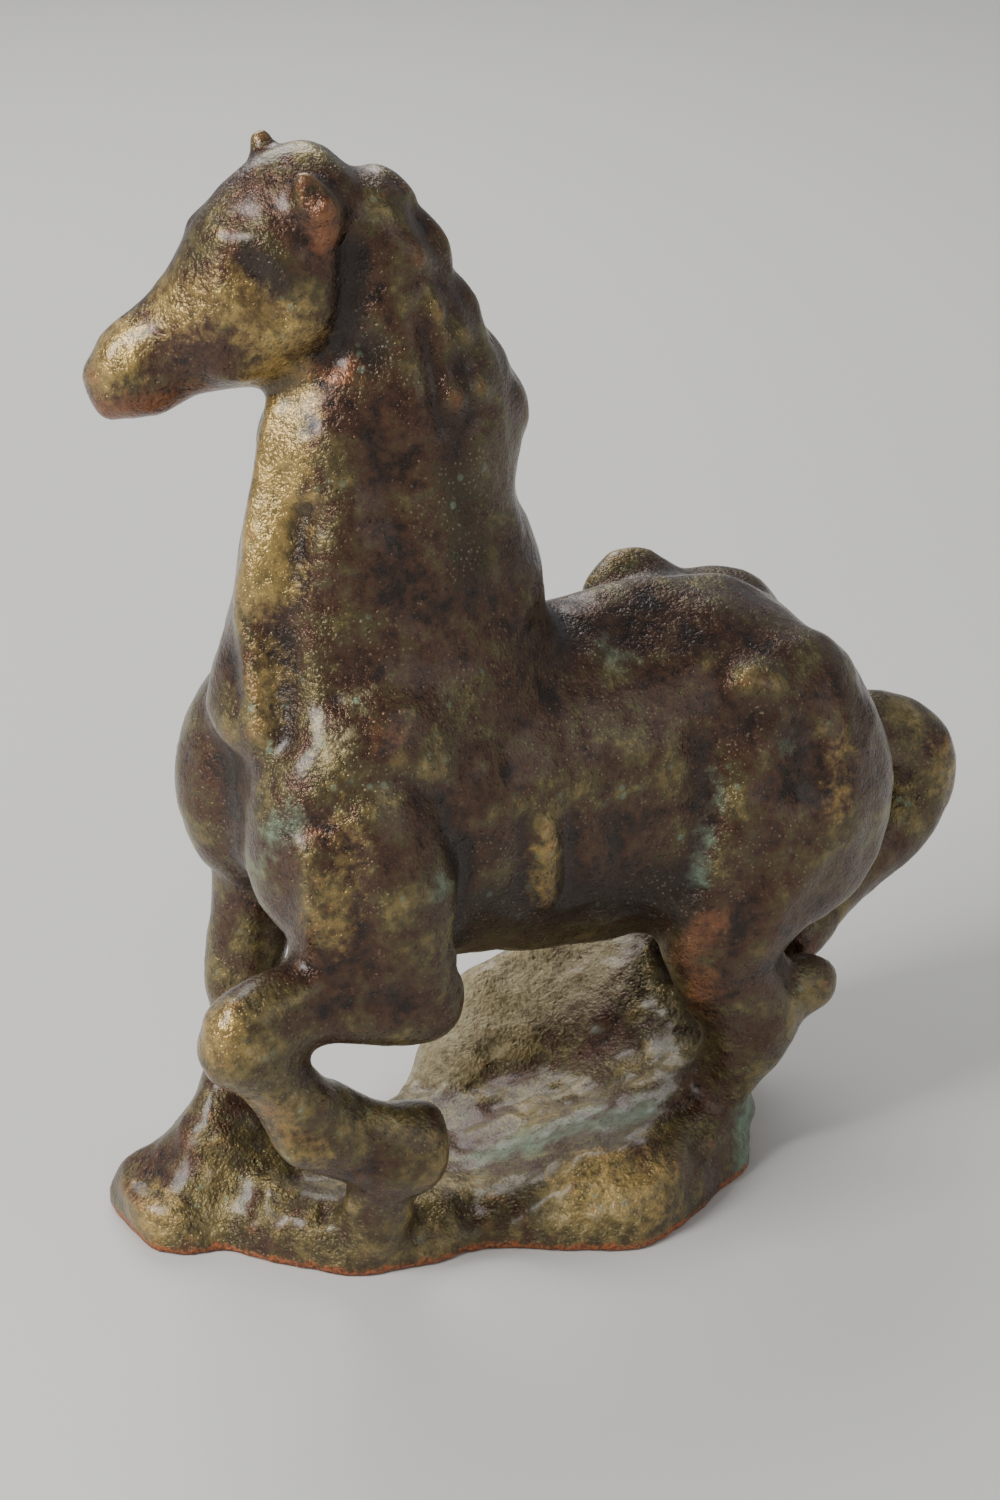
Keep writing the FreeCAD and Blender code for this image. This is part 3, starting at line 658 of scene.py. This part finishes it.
PAINT_STROKES = {   # attribute, then strokes: node, shares of its box, radius, strength
    # gold patina, with painted highlights on the nose, the front ridge of the neck, the knee and the front of
    # the chest
    "gold_patina_and_painted_highlight": [
        ("neck_casting", [(0.16, 0.50, 0.60), (0.10, 0.40, 0.36), (0.04, 0.36, 0.15)], 9, 1.0),
        ("torso_casting", [(0.05, 0.36, 0.96), (0.04, 0.34, 0.82)], 6, 0.6),
        ("head_casting", [(0.03, 0.72, 0.22), (0.10, 0.66, 0.34)], 7, 0.9),
        ("head_casting", [(0.24, 0.55, 0.48), (0.40, 0.30, 0.50), (0.56, 0.10, 0.36)], 9, 0.7),
        ("left_foreleg", [(0.04, 0.28, 0.86)], 8, 0.9),
        ("left_foreleg", [(0.16, 0.20, 0.58), (0.40, 0.20, 0.30)], 5, 0.6),
        ("torso_casting", [(0.38, 0.08, 0.46), (0.39, 0.14, 0.32)], 5, 0.55),
        ("torso_casting", [(0.84, 0.03, 0.56), (0.82, 0.01, 0.40)], 6, 0.5),
        ("torso_casting", [(0.08, 0.05, 0.68), (0.06, 0.06, 0.40)], 7, 0.5),
        ("rock_base", [(0.02, 0.58, 0.16)], 9, 0.9),
        ("rock_base", [(0.56, 0.12, 0.40), (0.62, 0.06, 0.34)], 10, 0.8),
        ("rock_base", [(0.30, 0.22, 0.50)], 6, 0.7),
        ("tail_casting", [(0.75, 0.20, 0.95), (0.95, 0.30, 0.60)], 6, 0.5),
    ],
    "copper": [
        ("neck_casting", [(0.20, 0.62, 0.62), (0.34, 0.20, 0.66)], 4, 0.7),
        ("head_casting", [(0.05, 0.70, 0.06), (0.30, 0.45, 0.10)], 6, 0.7),
        # a painted highlight on the muzzle, in copper
        ("head_casting", [(0.0, 0.75, 0.20)], 5, 0.6),
        ("left_ear", [(0.35, 0.05, 0.55), (0.45, 0.15, 0.20)], 4, 0.8),
        ("torso_casting", [(0.63, 0.06, 0.16), (0.59, 0.10, 0.05)], 5, 0.7),
        ("left_hind_leg", [(0.15, 0.25, 0.90), (0.10, 0.30, 0.60)], 5, 0.7),
        ("torso_casting", [(0.05, 0.14, 0.60), (0.05, 0.10, 0.40)], 5, 0.6),
        ("left_foreleg", [(0.02, 0.30, 0.66), (0.30, 0.10, 0.40)], 6, 0.6),
        ("torso_casting", [(0.16, 0.10, 0.80)], 7, 0.5),
    ],
    "green": [
        ("rock_base", [(0.50, 0.40, 0.36), (0.62, 0.34, 0.42), (0.70, 0.26, 0.50)], 10, 0.7),
        ("rock_base", [(0.44, 0.70, 0.60)], 6, 0.6),
        ("rock_base", [(0.86, 0.22, 0.40), (0.84, 0.16, 0.10)], 6, 0.9),
        ("torso_casting", [(0.645, 0.10, 0.60), (0.63, 0.08, 0.40), (0.61, 0.09, 0.28)], 4, 0.6),
        ("torso_casting", [(0.76, 0.05, 0.56)], 6, 0.5),
        ("torso_casting", [(0.55, 0.30, 0.84)], 10, 0.5),
        ("torso_casting", [(0.03, 0.14, 0.66), (0.02, 0.30, 0.50)], 7, 0.6),
        ("torso_casting", [(0.20, 0.05, 0.45)], 6, 0.6),
        ("neck_casting", [(0.50, 0.16, 0.55), (0.30, 0.06, 0.10)], 8, 0.25),
    ],
    # painted shade in the creases, the eye sockets, the ear's hollow, the armpits, behind the hip, inside the
    # tail's curve and under the belly, with some dark patina patches on the neck
    "painted_shade_and_dark_patina": [
        ("neck_casting", [(0.10, 0.24, 0.14)], 6, 0.9),
        ("torso_casting", [(0.06, 0.34, 0.99), (0.04, 0.31, 0.84)], 5, 0.9),
        ("neck_casting", [(0.37, 0.25, 0.69)], 6, 0.8),
        ("neck_casting", [(0.62, 0.16, 0.62), (0.60, 0.12, 0.40), (0.62, 0.05, 0.10)], 9, 0.6),
        ("head_casting", [(0.42, 0.18, 0.68), (0.48, 0.12, 0.60)], 5, 0.8),
        ("head_casting", [(0.73, 0.06, 0.62), (0.72, 0.08, 0.34)], 5, 0.8),
        ("torso_casting", [(0.30, 0.08, 0.30), (0.50, 0.10, 0.22), (0.58, 0.12, 0.22)], 11, 0.9),
        ("torso_casting", [(0.25, 0.10, 0.46), (0.24, 0.14, 0.26)], 5, 1.0),
        ("torso_casting", [(0.73, 0.05, 0.64)], 9, 0.7),
        ("left_ear", [(0.10, 0.10, 0.85)], 3, 1.0),
        ("tail_casting", [(0.35, 0.20, 0.65)], 9, 0.6),
        ("left_foreleg", [(0.85, 0.20, 0.50)], 8, 0.5),
    ],
    # painted light on the lit far ridge and in the valley of the rock, with some pale patina
    "painted_light_and_pale_patina": [
        ("rock_base", [(0.50, 0.80, 0.42), (0.66, 0.80, 0.75), (0.78, 0.72, 0.92)], 13, 1.0),
        ("rock_base", [(0.30, 0.34, 0.30), (0.40, 0.30, 0.20)], 8, 0.5),
        ("rock_base", [(0.20, 0.56, 0.40)], 6, 0.5),
        ("torso_casting", [(0.12, 0.16, 0.92), (0.08, 0.20, 0.74)], 10, 0.4),
    ],
}


def paint_attributes(points, field):
    """Per point of the skin: how raised it is at two scales, and the strength of each painted stroke."""
    paint = {}
    for key, radius in RELIEF_SCALES:
        paint[key] = np.clip(sampled(blurred(field, radius) - field, points) / (0.35 * radius), -1, 1)
    for key, strokes in PAINT_STROKES.items():
        total = np.zeros(len(points))
        for node, shares, radius, strength in strokes:
            path = [place(node, *share) for share in shares]
            total = np.maximum(total, strength * near_path(points, path, radius))
        paint[key] = total
    return paint


# ---------------------------------------------------------------- materials
class Graph:
    """A material's node tree, built from sockets and plain numbers."""

    def __init__(self, name):
        self.material = bpy.data.materials.new(name)
        self.material.use_nodes = True
        self.tree = self.material.node_tree
        self.shader = self.tree.nodes["Principled BSDF"]
        self.places = self.add("ShaderNodeTexCoord").outputs["Object"]

    def add(self, kind, **settings):
        node = self.tree.nodes.new(kind)
        for key, value in settings.items():
            setattr(node, key, value)
        return node

    def feed(self, socket, value):
        """Link a socket, or set it to a number or a colour."""
        if isinstance(value, bpy.types.NodeSocket):
            self.tree.links.new(value, socket)
        elif isinstance(value, tuple) and len(value) == 3 and socket.type == "RGBA":
            socket.default_value = (*value, 1)
        else:
            socket.default_value = value

    def math(self, operation, first, second=0.0, clamp=False):
        node = self.add("ShaderNodeMath", operation=operation, use_clamp=clamp)
        self.feed(node.inputs[0], first)
        self.feed(node.inputs[1], second)
        return node.outputs[0]

    def total(self, *terms, clamp=False):
        """Sum of numbers, sockets, and (socket, factor) pairs."""
        parts = [self.math("MULTIPLY", *term) if isinstance(term, tuple) else term for term in terms]
        result = parts[0]
        for part in parts[1:]:
            result = self.math("ADD", result, part)
        return self.math("ADD", result, 0.0, clamp=True) if clamp else result

    def shifted(self, seed):
        node = self.add("ShaderNodeVectorMath", operation="ADD")
        self.feed(node.inputs[0], self.places)
        node.inputs[1].default_value = (0.37 * seed, 0.19 * seed, 0.53 * seed)
        return node.outputs[0]

    def noise(self, cell, seed, detail=3.0, roughness=0.55, distortion=0.0):
        """Noise centred on 0, about -0.5 to 0.5, whose lumps are cell millimetres wide."""
        node = self.add("ShaderNodeTexNoise")
        self.feed(node.inputs["Vector"], self.shifted(seed))
        node.inputs["Scale"].default_value = MM / cell
        node.inputs["Detail"].default_value = detail
        node.inputs["Roughness"].default_value = roughness
        node.inputs["Distortion"].default_value = distortion
        return self.math("SUBTRACT", node.outputs["Fac"], 0.5)

    def dots(self, cell, seed, size, softness=0.12):
        """Round spots of a given size, as a share of their cell: 1 in a spot, 0 outside."""
        node = self.add("ShaderNodeTexVoronoi")
        self.feed(node.inputs["Vector"], self.shifted(seed))
        node.inputs["Scale"].default_value = MM / cell
        inside = self.math("SUBTRACT", size, node.outputs["Distance"])
        return self.math("DIVIDE", inside, softness, clamp=True)

    def attribute(self, name):
        return self.add("ShaderNodeAttribute", attribute_name=name).outputs["Fac"]

    def ramp(self, amount, stops):
        node = self.add("ShaderNodeValToRGB")
        self.feed(node.inputs["Fac"], amount)
        elements = node.color_ramp.elements
        while len(elements) < len(stops):
            elements.new(0.5)
        for element, (position, colour) in zip(elements, stops):
            element.position = position
            element.color = (*colour, 1)
        return node.outputs["Color"]

    def mix(self, share, first, second):
        node = self.add("ShaderNodeMix", data_type="RGBA")
        self.feed(node.inputs[0], share)
        self.feed(node.inputs[6], first)
        self.feed(node.inputs[7], second)
        return node.outputs[2]

    def bumps(self, *layers):
        """Stack bump layers, each a height and its depth in millimetres."""
        normal = None
        for height, depth in layers:
            node = self.add("ShaderNodeBump")
            node.inputs["Strength"].default_value = 1.0
            node.inputs["Distance"].default_value = depth / MM
            self.feed(node.inputs["Height"], height)
            if normal:
                self.feed(node.inputs["Normal"], normal)
            normal = node.outputs["Normal"]
        self.feed(self.shader.inputs["Normal"], normal)


DEEP_BROWN = (0.020, 0.011, 0.007)
BROWN = (0.072, 0.032, 0.016)
RED_BROWN = (0.125, 0.050, 0.026)
DARK_OLIVE = (0.085, 0.064, 0.026)
OLIVE = (0.215, 0.158, 0.055)
GOLD = (0.48, 0.315, 0.095)
COPPER = (0.27, 0.105, 0.044)
GREEN = (0.075, 0.135, 0.090)
VERDIGRIS = (0.165, 0.245, 0.165)
CREAM = (0.45, 0.375, 0.215)
RUST = (0.40, 0.13, 0.045)


def patina(name, on_rock):
    """Bronze under a mottled patina: brown in the hollows, gold and copper on the raised parts, verdigris,
    and painted shade, painted light and painted highlights.
    """
    graph = Graph(name)
    broad = graph.noise(24, 1, detail=2)
    patches = graph.noise(8, 2, detail=5, distortion=0.5)
    flecks = graph.noise(2.2, 3, detail=4, roughness=0.62)
    grain = graph.noise(0.75, 4, detail=2)
    streaks = graph.noise(5, 5, detail=4, roughness=0.7, distortion=1.2)
    swell = graph.attribute("swell")
    relief = graph.attribute("relief")

    tone = graph.total(0.41 if on_rock else 0.37, (broad, 0.55), (patches, 0.75), (flecks, 0.55),
                       (swell, 0.10), (relief, 0.10))
    colour = graph.ramp(tone, [(0.22, DEEP_BROWN), (0.38, BROWN), (0.50, DARK_OLIVE), (0.66, OLIVE),
                               (0.86, CREAM)])

    def painted(key, bias, own_noise, sharpness=2.4):
        """Where a painted stroke shows, broken up by the patches."""
        ragged = graph.total((graph.attribute(key), 1.15), (own_noise, 1.1), (flecks, 0.7), -bias)
        return graph.math("MULTIPLY", ragged, sharpness, clamp=True)

    reddish = graph.total((streaks, 1.0), (broad, -0.6), (flecks, 0.3), -0.05)
    reddish = graph.math("MULTIPLY", reddish, 3.0, clamp=True)
    colour = graph.mix(graph.math("MULTIPLY", reddish, 0.55), colour, RED_BROWN)
    # Painted shade in the creases, hollows and under the belly, with some dark patina patches: deep brown
    # where the dark strokes are.
    painted_shade_and_dark_patina = painted("painted_shade_and_dark_patina", 0.42, patches)
    colour = graph.mix(graph.math("MULTIPLY", painted_shade_and_dark_patina, 0.85), colour, DEEP_BROWN)
    # Painted light on the lit ridge of the rock, with pale patina: olive to cream where the pale strokes are.
    painted_light_and_pale_patina = painted("painted_light_and_pale_patina", 0.40, patches, 1.8)
    colour = graph.mix(graph.math("MULTIPLY", painted_light_and_pale_patina, 0.85), colour,
                       graph.ramp(graph.total(0.5, flecks, (grain, 0.8)), [(0.25, OLIVE), (0.65, CREAM)]))
    # Gold patina with painted highlights on the nose, the neck's front ridge, the knee and the chest's edge.
    gold_patina_and_painted_highlight = painted("gold_patina_and_painted_highlight", 0.40, streaks, 1.9)
    colour = graph.mix(graph.math("MULTIPLY", gold_patina_and_painted_highlight, 0.8), colour,
                       graph.ramp(graph.total(0.5, flecks, (patches, 0.6)), [(0.28, OLIVE), (0.66, GOLD)]))
    copper = painted("copper", 0.42, streaks, 2.0)
    rubbed = graph.total((relief, 0.7), (swell, 0.25), (streaks, 1.5), -0.50)
    rubbed = graph.math("MULTIPLY", rubbed, 2.0, clamp=True)
    copper = graph.math("MAXIMUM", copper, graph.math("MULTIPLY", rubbed, 0.6))
    colour = graph.mix(graph.math("MULTIPLY", copper, 0.75), colour, COPPER)
    green = painted("green", 0.46, patches, 2.2)
    colour = graph.mix(graph.math("MULTIPLY", green, 0.8), colour,
                       graph.ramp(graph.total(0.5, flecks), [(0.35, GREEN), (0.62, VERDIGRIS)]))
    seldom = graph.math("MULTIPLY", graph.total((patches, 1.0), (broad, 0.8), -0.08), 5.0, clamp=True)
    spots = graph.math("MULTIPLY", graph.dots(3.4, 6, 0.26), seldom)
    colour = graph.mix(graph.math("MULTIPLY", spots, 0.7), colour, VERDIGRIS)
    often = graph.math("MULTIPLY", graph.total((streaks, 1.0), (broad, 0.8), 0.16 if on_rock else 0.06), 4.0,
                       clamp=True)
    specks = graph.math("MULTIPLY", graph.dots(1.05, 7, 0.30, 0.2), often)
    colour = graph.mix(graph.math("MULTIPLY", specks, 0.40), colour, CREAM)
    sunken = graph.math("MULTIPLY", graph.total((relief, -0.9), (swell, -0.5), -0.10), 1.4, clamp=True)
    colour = graph.mix(graph.math("MULTIPLY", sunken, 0.8), colour, DEEP_BROWN)

    dull = graph.math("MAXIMUM", graph.math("MAXIMUM", green, painted_light_and_pale_patina), graph.math("MAXIMUM", spots, specks))
    metallic = graph.total(0.62, (dull, -0.42), (sunken, -0.15), clamp=True)
    roughness = graph.total(0.35 if on_rock else 0.31, (flecks, 0.45), (patches, 0.25), (dull, 0.22),
                            (gold_patina_and_painted_highlight, -0.05), clamp=True)
    if on_rock:
        height = graph.add("ShaderNodeSeparateXYZ")
        graph.feed(height.inputs[0], graph.places)
        edge = graph.total((height.outputs["Z"], -MM), 2.2, (flecks, 4.0), (patches, 3.0))
        rim = graph.math("MULTIPLY", edge, 1.2, clamp=True)
        bare = graph.ramp(graph.total(0.5, (grain, 1.4)), [(0.3, RED_BROWN), (0.6, RUST)])
        colour = graph.mix(rim, colour, bare)
        roughness = graph.total(roughness, (rim, 0.3), clamp=True)
    graph.feed(graph.shader.inputs["Base Color"], colour)
    graph.feed(graph.shader.inputs["Metallic"], metallic)
    graph.feed(graph.shader.inputs["Roughness"], roughness)
    graph.shader.inputs["Coat Weight"].default_value = 0.35
    graph.shader.inputs["Coat Roughness"].default_value = 0.24
    pits = graph.dots(1.9, 8, 0.24, 0.2)
    graph.bumps((flecks, 0.9 if on_rock else 0.6), (pits, -0.22), (grain, 0.42 if on_rock else 0.30),
                (specks, 0.10))
    return graph.material


def bare_metal(name, colour, worn, roughness, metallic):
    """Turned or plated metal: faint tool marks round the axis, with spots of tarnish."""
    graph = Graph(name)
    marks = graph.add("ShaderNodeTexWave", wave_type="BANDS", bands_direction="Z")
    graph.feed(marks.inputs["Vector"], graph.places)
    marks.inputs["Scale"].default_value = MM / 2.4
    marks.inputs["Distortion"].default_value = 1.5
    tarnish = graph.noise(3, 1, detail=4)
    fine = graph.noise(0.8, 2)
    graph.feed(graph.shader.inputs["Base Color"],
               graph.mix(graph.total(0.35, (tarnish, 1.8), clamp=True), colour, worn))
    graph.feed(graph.shader.inputs["Roughness"],
               graph.total(roughness, (tarnish, 0.3), (fine, 0.2), clamp=True))
    graph.shader.inputs["Metallic"].default_value = metallic
    graph.bumps((marks.outputs["Fac"], 0.03), (fine, 0.06))
    return graph.material


def materials():
    """One material for each slot of the record."""
    return {
        "patinated_bronze": patina("patinated_bronze", on_rock=False),
        "rock_bronze": patina("rock_bronze", on_rock=True),
        "raw_bronze": bare_metal("raw_bronze", (0.52, 0.31, 0.13), (0.20, 0.10, 0.045), 0.38, 1.0),
        "zinc_steel": bare_metal("zinc_steel", (0.56, 0.57, 0.58), (0.34, 0.34, 0.33), 0.34, 1.0),
    }


# ---------------------------------------------------------------- the studio
def studio():
    """Pale floor, soft lights and the camera."""
    low, high = (np.array(corner) for corner in CAD_BOX)
    aim = low + (high - low) * np.array(AIM_SHARES)
    place_camera(aim)
    lay_floor()
    world = bpy.data.worlds.new("studio")
    world.use_nodes = True
    world.node_tree.nodes["Background"].inputs["Color"].default_value = (0.9, 0.92, 0.95, 1)
    world.node_tree.nodes["Background"].inputs["Strength"].default_value = 0.35
    bpy.context.scene.world = world
    for name, spot, size, power in LIGHTS:
        lamp = bpy.data.objects.new(name, bpy.data.lights.new(name, "AREA"))
        lamp.data.size = size
        lamp.data.energy = power
        lamp.location = spot
        lamp.rotation_euler = (Vector(aim) - Vector(spot)).to_track_quat("-Z", "Y").to_euler()
        bpy.context.scene.collection.objects.link(lamp)


def place_camera(aim):
    """The camera, in front of the left flank and above it."""
    turn = math.radians(AZIMUTH)
    tilt = math.radians(ELEVATION)
    back = np.array([math.sin(turn) * math.cos(tilt), -math.cos(turn) * math.cos(tilt), math.sin(tilt)])
    camera = bpy.data.objects.new("camera", bpy.data.cameras.new("camera"))
    camera.data.sensor_width = 36
    camera.data.lens = camera.data.sensor_width / 2 / math.tan(math.radians(FIELD_OF_VIEW) / 2)
    camera.location = Vector(aim + back * CAMERA_DISTANCE)
    camera.rotation_euler = Vector(-back).to_track_quat("-Z", "Y").to_euler()
    bpy.context.scene.collection.objects.link(camera)
    bpy.context.scene.camera = camera


def lay_floor():
    """A pale matt floor."""
    bpy.ops.mesh.primitive_plane_add(size=6, location=(0, 0, 0))
    floor = bpy.context.object
    floor.name = "floor"
    paint = bpy.data.materials.new("floor_paint")
    paint.use_nodes = True
    shader = paint.node_tree.nodes["Principled BSDF"]
    shader.inputs["Base Color"].default_value = (0.62, 0.61, 0.58, 1)
    shader.inputs["Roughness"].default_value = 0.8
    floor.data.materials.append(paint)


def sculpted(fields):
    """The whole statue as one field: united, modelled, roughened and hollowed."""
    skin, under_rock = united(fields)
    for model in (model_head, model_neck, model_chest, model_barrel, model_haunches, model_legs, model_tail,
                  model_rock):
        model(skin)
    skin = roughened(skin, fields)
    skin = plugs_covered(skin, fields)
    return hollowed(skin, fields, under_rock)


def main():
    """Sculpt the skin, hang its pieces on the frame, and paint them and the CAD nodes that stay."""
    fields = {name: node_field(name) for name in CAST_NODES}
    skin = sculpted(fields)
    points, quads = skin_mesh(skin)
    points, faces = into_pieces(points, quads, fields)
    paint = paint_attributes(points, skin)
    paints = materials()
    slots = {part["node"]: part["material_slot"] for part in frame["record"]["subparts"]}
    for name in SPLIT_ORDER:
        data = piece_mesh(name + "_skin", points, faces[name], paint)
        obj = bpy.data.objects.new(name + "_skin", data)
        bpy.context.scene.collection.objects.link(obj)
        data.materials.append(paints[slots[name]])
        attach(obj, "root")
        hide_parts(name)
    for name, node in frame["nodes"].items():
        if name not in faces:
            node.data.materials.clear()
            node.data.materials.append(paints[slots[name]])
    studio()


main()
